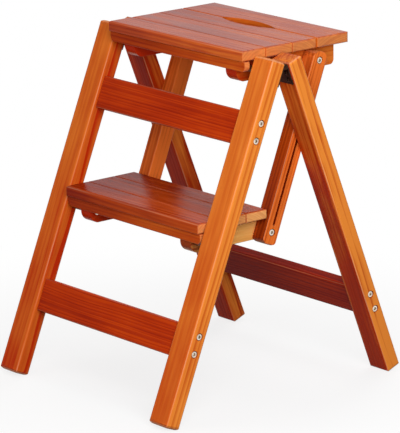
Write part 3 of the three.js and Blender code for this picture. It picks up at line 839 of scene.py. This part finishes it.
def place_socket_screws(name, nodes, outward, hardware, body):
    """Socket screws in the place of like nodes. Their heads look away from the middle or to it"""
    places = []
    for node_name in nodes:
        way = outward_way(node_name) * (1 if outward else -1)
        places.append((bearing_point(node_name, way, hardware.head_height), way * ACROSS))
    sizes = {
        "Shank length": size_of(nodes[0]).x - hardware.head_height,
        "Material": bpy.data.materials["zinc_plating"],
    }
    for size in SOCKET_SCREW_SIZES:
        sizes[size] = getattr(hardware, size.lower().replace(" ", "_"))
    place_hardware(name, "socket_screw", places, sizes, body, nodes)


# Wooden pieces. The names in these tables are parts of the pieces' names

# What pieces have of their own, beside LOOK
LOOKS = {
    "leg": {"ring_scale": 1.5, "rings_through": 0.12, "pale_and_lit_end": 0.1, "edge_wear_and_highlight": 0.4},
    "front_leg": {"slope": -0.6, "side_slope": -0.3, "rings_across": 0.5},
    # The right-hand legs are paler and the left-hand ones deeper, most on their sides, here and
    # for the rear legs below: painted light from the right, painted shade under the seat
    "front_leg_right": {"depth": 0.44, "side_depth": -0.39, "end_depth": -0.19},
    "front_leg_left": {"depth": 0.64, "side_depth": 0.06, "end_depth": -0.39},
    "rear_leg": {"slope": -0.2, "side_slope": 0.2},
    "rear_leg_right": {"depth": 0.42, "side_depth": -0.54, "end_depth": -0.17},
    "rear_leg_left": {"depth": 0.62, "side_depth": -0.36, "end_depth": -0.37},
    "crosspiece": {"depth": 0.4, "slope": -0.5, "side_slope": -0.5, "rings_through": 0.45},
    # The rear crosspiece is stained deeper: painted shade, behind the step and under the seat
    "rear_crosspiece": {"depth": 0.8},
    # Slats and aprons are deeper towards their left ends: painted light, which falls from the
    # right
    "slat": {"slope": -1.2, "side_slope": -2.2, "rings_across": 0.2, "edge_wear_and_highlight": 0.2},
    "seat_slat": {"depth": 0.45, "pale_and_lit_end": 0.45, "gloss": 1.0},
    # Slat 4's front and back faces are paler: painted light on the wall of the hand hole
    "seat_slat_4": {"side_depth": -0.35},
    "step_slat": {"depth": 0.62, "gloss": 0.45},
    # The step slats' ends are made paler one after another: painted light on the step's lit end
    "step_slat_1": {"pale_and_lit_end": 0.6},
    "step_slat_2": {"pale_and_lit_end": 0.8},
    "step_slat_3": {"pale_and_lit_end": 1.0},
    "apron": {"depth": 0.5, "slope": -1.8, "side_slope": -1.8},
    # Cleats are deeper towards their front ends and on those ends, the left ones more: painted
    # shade under the boards
    "cleat": {"slope": -3.5, "side_slope": -3.5, "end_depth": 0.35, "pale_and_lit_end": 0.0},
    "cleat_right": {"depth": 0.5},
    "cleat_left": {"depth": 0.75},
    # The links' slots get a painted shadow on their floors and painted light on their walls. The
    # left link is paler, as painted light, and the right one darker towards the bottom
    "link": {"side_slope": -0.3, "rings_across": 0.3, "groove_floor_shadow": 1.0, "groove_wall_light": -0.7},
    "link_right": {"depth": 0.45, "slope": -2.4, "side_depth": -0.38},
    "link_left": {"depth": 0.1, "slope": -0.8, "side_depth": -0.2},
}

# The way of the grain, and the way across the piece
GRAINS = {
    "front_leg": (FRONT_FRAME_UP, ACROSS),
    "rear_leg": (REAR_FRAME_UP, ACROSS),
    "crosspiece": (ACROSS, FRONT_FRAME_UP),
    "rear_crosspiece": (ACROSS, REAR_FRAME_UP),
    "slat": (ACROSS, BACKWARD),
    "apron": (ACROSS, UPWARD),
    "cleat": (BACKWARD, UPWARD),
    "link": (LINK_UP, ACROSS),
}

# Whose stain a piece has where it is pale, where it is usual and where it is deep
STAINS = {
    "leg": ("leg", "leg", "leg"),
    "rear_leg": ("leg", "rail", "rail"),
    "crosspiece": ("rail", "rail", "rail"),
    "slat": ("board", "board", "board"),
    "apron": ("board", "board", "board"),
    "cleat": ("leg", "leg", "leg"),
    # The right step cleat's paler stain is painted light on its lit side
    "step_cleat_right": ("lit_cleat", "lit_cleat", "lit_cleat"),
    "link": ("link", "link", "link"),
}

# Where the pith of its trunk is from a piece's middle, in mm across the piece and through it
PITHS = {
    "front_leg_right": (44, 36),
    "front_leg_left": (-44, 36),
    "rear_leg_right": (44, 22),
    "rear_leg_left": (-44, 22),
    "upper_crosspiece": (88, 26),
    "lower_crosspiece": (71, 5),
    "rear_crosspiece": (54, -16),
    "slat_1": (24, -46),
    "slat_2": (-7, -55),
    "slat_3": (-38, -64),
    "slat_4": (24, -73),
    "apron": (-52, 21),
    "cleat_right": (31, 44),
    "cleat_left": (31, -44),
    "link_right": (38, 40),
    "link_left": (-38, 40),
}

# Every piece is sawn from another place along the trunk. These are the first of each group
SEEDS = {"leg": 1, "crosspiece": 5, "seat": 10, "step": 15, "apron": 20, "cleat": 22, "link": 30}


def found(table, name):
    """What a table says of a piece. The last of the rows that match it counts"""
    return [row for part, row in table.items() if part in name][-1]


def make_of_pine(names, group, wood):
    """Gives each of these pieces its own pine"""
    for seed, name in enumerate(names, SEEDS[group]):
        look = dict(LOOK)
        for part, changes in LOOKS.items():
            if part in name:
                look.update(changes)
        along, across = found(GRAINS, name)
        turn = Matrix((along, across, along.cross(across))).transposed().to_euler()
        pith = (0, *(offset * MM for offset in found(PITHS, name)))
        tones = zip(found(STAINS, name), ("pale", "stain", "deep"))
        stain = [getattr(wood, f"{kind}_{tone}") for kind, tone in tones]
        dress(name, pine(f"pine_{name}", stain, centre_of(name), turn, pith, seed, wood, look))


class STOOL_OT_legs(bpy.types.Operator):
    """Stain and lacquer the four legs: smooth in front, with bold rings on their sides"""

    bl_idname = "stool.legs"
    bl_label = "Legs"

    def execute(self, context):
        legs = both_sides("front_leg", "rear_leg")
        make_of_pine(legs, "leg", context.scene.stool_wood)
        return {"FINISHED"}


class STOOL_OT_crosspieces(bpy.types.Operator):
    """Stain and lacquer the three crosspieces, redder than the legs"""

    bl_idname = "stool.crosspieces"
    bl_label = "Crosspieces"

    def execute(self, context):
        rails = [rail for held in FRAME_SCREWS.values() for rail in held]
        make_of_pine(rails, "crosspiece", context.scene.stool_wood)
        return {"FINISHED"}


class STOOL_OT_boards(bpy.types.Operator):
    """Stain and lacquer the slats of the seat and the step, each sawn from its own place"""

    bl_idname = "stool.boards"
    bl_label = "Seat and Step Boards"

    def execute(self, context):
        for flap, count in FLAPS.items():
            slats = [f"{flap}_slat_{index + 1}" for index in range(count)]
            make_of_pine(slats, flap, context.scene.stool_wood)
        return {"FINISHED"}


class STOOL_OT_aprons_and_cleats(bpy.types.Operator):
    """Stain and lacquer what carries the boards: an apron and two cleats under each"""

    bl_idname = "stool.aprons_and_cleats"
    bl_label = "Aprons and Cleats"

    def execute(self, context):
        wood = context.scene.stool_wood
        make_of_pine(("seat_apron", "step_apron"), "apron", wood)
        make_of_pine(both_sides("seat_cleat", "step_cleat"), "cleat", wood)
        return {"FINISHED"}


class STOOL_OT_links(bpy.types.Operator):
    """Stain and lacquer the two links, with painted shadow in their slots and painted light on the
    slot walls
    """

    bl_idname = "stool.links"
    bl_label = "Links"

    def execute(self, context):
        make_of_pine(both_sides("link"), "link", context.scene.stool_wood)
        return {"FINISHED"}


# Hardware

NUT_PLAY = 0.3 * MM  # between a nut's bore and the shank in it
RECESS_WIDTH = 0.9 * MM
RECESS_DEPTH = 0.8 * MM
LEAF_FACE_TO_PIN = 2.4 * MM  # from a hinge leaf's outer face to the middle of the pin
LEAF_HOLE_DROPS = (12 * MM, 23 * MM)  # below the pin, along the leg
LEAF_HOLE_INSET = 8 * MM  # from the leaf's sides


class STOOL_OT_crosspiece_screws(bpy.types.Operator):
    """Make the twelve socket screws that hold the crosspieces between the legs"""

    bl_idname = "stool.crosspiece_screws"
    bl_label = "Crosspiece Screws"

    def execute(self, context):
        hardware = context.scene.stool_hardware
        for body, rails in FRAME_SCREWS.items():
            rows = [f"{rail}_screw_{row}" for rail in rails for row in (1, 2)]
            nodes = both_sides(*rows)
            place_socket_screws(f"{body}_crosspiece_screws", nodes, True, hardware, body)
        return {"FINISHED"}


class STOOL_OT_pivot_bolts(bpy.types.Operator):
    """Make the four bolts on which the seat and the step turn in the front legs"""

    bl_idname = "stool.pivot_bolts"
    bl_label = "Pivot Bolts"

    def execute(self, context):
        hardware = context.scene.stool_hardware
        nodes = both_sides("seat_pivot_bolt", "step_pivot_bolt")
        place_socket_screws("leg_pivot_bolts", nodes, False, hardware, "front_frame")
        return {"FINISHED"}


class STOOL_OT_link_bolts(bpy.types.Operator):
    """Make the bolts and nuts that hold the links to the seat's and the step's cleats"""

    bl_idname = "stool.link_bolts"
    bl_label = "Link Bolts and Nuts"

    def execute(self, context):
        hardware = context.scene.stool_hardware
        for flap in FLAPS:
            bolts = both_sides(f"{flap}_link_bolt")
            place_socket_screws(f"{flap}_link_bolts", bolts, True, hardware, flap)
            nuts = both_sides(f"{flap}_link_nut")
            height = size_of(nuts[0]).x
            places = []
            for nut in nuts:
                way = -outward_way(nut)
                places.append((bearing_point(nut, way, height), way * ACROSS))
            sizes = {
                "Nut radius": hardware.nut_radius,
                "Height": height,
                "Chamfer": hardware.nut_chamfer,
                "Bore radius": hardware.shank_radius + NUT_PLAY,
                "Material": bpy.data.materials["zinc_plating"],
            }
            name = f"{flap}_link_nuts"
            place_hardware(name, "chamfered_nut", places, sizes, flap, nuts)
        return {"FINISHED"}


def hinge_screw_places(leaf, up, outward):
    """Where the four screws of a leaf bear. outward is away from the wood"""
    pin = centre_of(leaf.replace("_front_leaf", "_pin").replace("_rear_leaf", "_pin"))
    low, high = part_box(leaf)
    places = []
    for drop in LEAF_HOLE_DROPS:
        on_leaf = pin - drop * up - LEAF_FACE_TO_PIN * outward
        for x in (low.x + LEAF_HOLE_INSET, high.x - LEAF_HOLE_INSET):
            places.append((Vector((x, on_leaf.y, on_leaf.z)), outward))
    return places


class STOOL_OT_hinges(bpy.types.Operator):
    """Plate the hinge leaves and pins with nickel, and add the leaves' wood screws"""

    bl_idname = "stool.hinges"
    bl_label = "Hinges"

    def execute(self, context):
        hardware = context.scene.stool_hardware
        shaded_nickel = bpy.data.materials["nickel_plating"]
        leaves = {
            "front": (FRONT_FRAME_UP, FRONT_FRAME_UP.cross(ACROSS)),
            "rear": (REAR_FRAME_UP, ACROSS.cross(REAR_FRAME_UP)),
        }
        sizes = {
            "Head radius": hardware.wood_screw_radius,
            "Head height": hardware.wood_screw_height,
            "Shank radius": hardware.wood_screw_radius / 2,
            "Shank length": hardware.wood_screw_length,
            "Recess width": RECESS_WIDTH,
            "Recess depth": RECESS_DEPTH,
            "Material": shaded_nickel,
        }
        for pin in both_sides("hinge_pin"):
            dress(pin, shaded_nickel)
        for where, (up, outward) in leaves.items():
            nodes = both_sides(f"hinge_{where}_leaf")
            places = [place for leaf in nodes for place in hinge_screw_places(leaf, up, outward)]
            name = f"{where}_hinge_screws"
            place_hardware(name, "wood_screw", places, sizes, f"{where}_frame")
            for leaf in nodes:
                dress(leaf, shaded_nickel)
        return {"FINISHED"}


class STOOL_OT_spacers_and_guides(bpy.types.Operator):
    """Finish the nylon spacers at the leg pivots and the steel pins that guide the links"""

    bl_idname = "stool.spacers_and_guides"
    bl_label = "Spacers and Guide Pins"

    def execute(self, context):
        for spacer in both_sides("seat_pivot_spacer", "step_pivot_spacer"):
            dress(spacer, bpy.data.materials["turned_nylon"])
        for pin in both_sides("guide_pin"):
            dress(pin, bpy.data.materials["zinc_plating"])
        return {"FINISHED"}


# Stage

FLOOR_RADIUS = 14.0
FLOOR_SIDES = 96
FLOOR_ROUGHNESS = 0.9
FLOOR_FADE = (0.15, 0.75)  # from here out the floor turns into plain white
FLOOR_GLOW = 0.78  # how much of that white it has near the stool
PLAIN_WHITE = (1, 1, 1, 1)

# Each lamp's place and width, and whether glossy surfaces show it
LAMPS = {
    "key": ((1.7, -1.0, 1.15), 1.7, False),
    "fill": ((-0.9, -2.2, 0.7), 1.6, False),
    "top": ((-0.2, 0.3, 2.2), 1.2, True),
    "back": ((-1.2, 2.2, 0.9), 1.6, False),
}
SENSOR_WIDTH = 36.0  # in mm, as the lens
FARTHEST = 100.0  # that the camera sees


def in_view(tree, rays):
    """1 for what the camera or a glossy surface sees, 0 for the light that is thrown on"""
    return maths(tree, "MAXIMUM", rays["Is Camera Ray"], rays["Is Glossy Ray"])


def floor_material(shown, bounce):
    """A pale floor that keeps the stool's shadow and turns plain white further out. The light it
    throws back at the stool is that of a darker floor"""
    material, tree, surface = new_material("pale_floor")
    seen = in_view(tree, node(tree, "ShaderNodeLightPath").outputs)
    feed(tree, surface, {
        "Base Color": blend_colours(tree, seen, linear(bounce), linear(shown)),
        "Roughness": FLOOR_ROUGHNESS,
        "Specular IOR Level": 0.0,
    })
    place = node(tree, "ShaderNodeTexCoord").outputs["Object"]
    reach = vector_maths(tree, "LENGTH", place, output=1)
    white = times(tree, seen, ease(tree, reach, *FLOOR_FADE, FLOOR_GLOW, 1.0))
    glow = node(tree, "ShaderNodeEmission", {"Color": PLAIN_WHITE, "Strength": 1.0}).outputs[0]
    mixed = node(tree, "ShaderNodeMixShader", {0: white, 1: surface.outputs[0], 2: glow})
    feed(tree, tree.nodes["Material Output"], {"Surface": mixed.outputs[0]})
    return material


def white_surroundings(strength):
    """A white world: its light on the stool is soft, and it shows plain white behind the stool"""
    world = bpy.data.worlds.new("white_surroundings")
    bpy.context.scene.world = world
    world.use_nodes = True
    tree = world.node_tree
    rays = node(tree, "ShaderNodeLightPath").outputs
    seen = maths(tree, "MAXIMUM", in_view(tree, rays), rays["Is Transmission Ray"])
    level = times_plus(tree, seen, 1.0 - strength, strength)
    feed(tree, tree.nodes["Background"], {"Color": PLAIN_WHITE, "Strength": level})


def add_lamp(name, place, aim, width, watts, in_gloss):
    lamp = bpy.data.lights.new(name, "AREA")
    lamp.shape = "DISK"
    lamp.size = width
    lamp.energy = watts
    holder = bpy.data.objects.new(name, lamp)
    holder.location = place
    holder.rotation_euler = (aim - Vector(place)).to_track_quat("-Z", "Y").to_euler()
    holder.visible_glossy = in_gloss
    bpy.context.scene.collection.objects.link(holder)


def add_camera(stage):
    camera = bpy.data.cameras.new("camera")
    camera.lens = stage.lens
    camera.sensor_width = SENSOR_WIDTH
    camera.sensor_fit = "HORIZONTAL"
    camera.clip_end = FARTHEST
    holder = bpy.data.objects.new("camera", camera)
    flat = math.cos(stage.elevation)
    back = Vector((
        math.sin(stage.azimuth) * flat, -math.cos(stage.azimuth) * flat, math.sin(stage.elevation),
    ))
    turn = (-back).to_track_quat("-Z", "Y").to_matrix() @ Matrix.Rotation(stage.roll, 3, "Z")
    place = Matrix.Translation(Vector(stage.aim) + stage.distance * back)
    holder.matrix_world = place @ turn.to_4x4()
    bpy.context.scene.collection.objects.link(holder)
    bpy.context.scene.camera = holder


class STOOL_OT_stage(bpy.types.Operator):
    """Set a pale floor, soft lamps and the camera"""

    bl_idname = "stool.stage"
    bl_label = "Stage"

    def execute(self, context):
        stage = context.scene.stool_stage
        context.scene.view_settings.view_transform = "Standard"
        white_surroundings(stage.daylight)
        bpy.ops.mesh.primitive_circle_add(
            vertices=FLOOR_SIDES, radius=FLOOR_RADIUS, fill_type="NGON",
        )
        floor = context.object
        floor.name = "floor"
        floor.data.materials.append(floor_material(stage.floor, stage.floor_bounce))
        middle = (CAD_BOX[0] + CAD_BOX[1]) / 2
        for name, (place, width, in_gloss) in LAMPS.items():
            watts = getattr(stage, f"{name}_power")
            add_lamp(f"{name}_lamp", place, middle, width, watts, in_gloss)
        add_camera(stage)
        return {"FINISHED"}


class STOOL_PT_panel(bpy.types.Panel):
    """Lists the steps that finish the stool, in order, with their settings"""

    bl_idname = "STOOL_PT_panel"
    bl_label = "Folding Step Stool"
    bl_space_type = "VIEW_3D"
    bl_region_type = "UI"
    bl_category = "Stool"

    def draw(self, context):
        layout = self.layout
        for operator in STEPS:
            layout.operator(operator.bl_idname)
        for group in SETTINGS:
            settings = getattr(context.scene, group)
            box = layout.box()
            for name in settings.__annotations__:
                box.prop(settings, name)


STEPS = (
    STOOL_OT_legs,
    STOOL_OT_crosspieces,
    STOOL_OT_boards,
    STOOL_OT_aprons_and_cleats,
    STOOL_OT_links,
    STOOL_OT_crosspiece_screws,
    STOOL_OT_pivot_bolts,
    STOOL_OT_link_bolts,
    STOOL_OT_hinges,
    STOOL_OT_spacers_and_guides,
    STOOL_OT_stage,
)
for step in STEPS:
    step.bl_options = {"REGISTER", "UNDO"}

SETTINGS = {"stool_wood": StoolWood, "stool_hardware": StoolHardware, "stool_stage": StoolStage}
CLASSES = (*SETTINGS.values(), *STEPS, STOOL_PT_panel)


def register():
    for cls in CLASSES:
        bpy.utils.register_class(cls)
    for name, group in SETTINGS.items():
        setattr(bpy.types.Scene, name, bpy.props.PointerProperty(type=group))


def unregister():
    for name in SETTINGS:
        delattr(bpy.types.Scene, name)
    for cls in reversed(CLASSES):
        bpy.utils.unregister_class(cls)


def make_shared_parts():
    """Node trees and metals that several steps use"""
    hardware = bpy.context.scene.stool_hardware
    pine_figure()
    rounded_edges()
    socket_screw_tree()
    nut_tree()
    wood_screw_tree()
    # Both platings get painted shade in their recesses
    plated_steel("zinc_plating", hardware.steel, 0.3, hardware.recess_shade)
    plated_steel("nickel_plating", hardware.shaded_nickel, 0.5, hardware.recess_shade, brush=0.97)
    matt_nylon("turned_nylon", hardware.nylon)


def main():
    register()
    make_shared_parts()
    for step in STEPS:
        group, name = step.bl_idname.split(".")
        getattr(getattr(bpy.ops, group), name)()


if __name__ == "__main__":
    main()
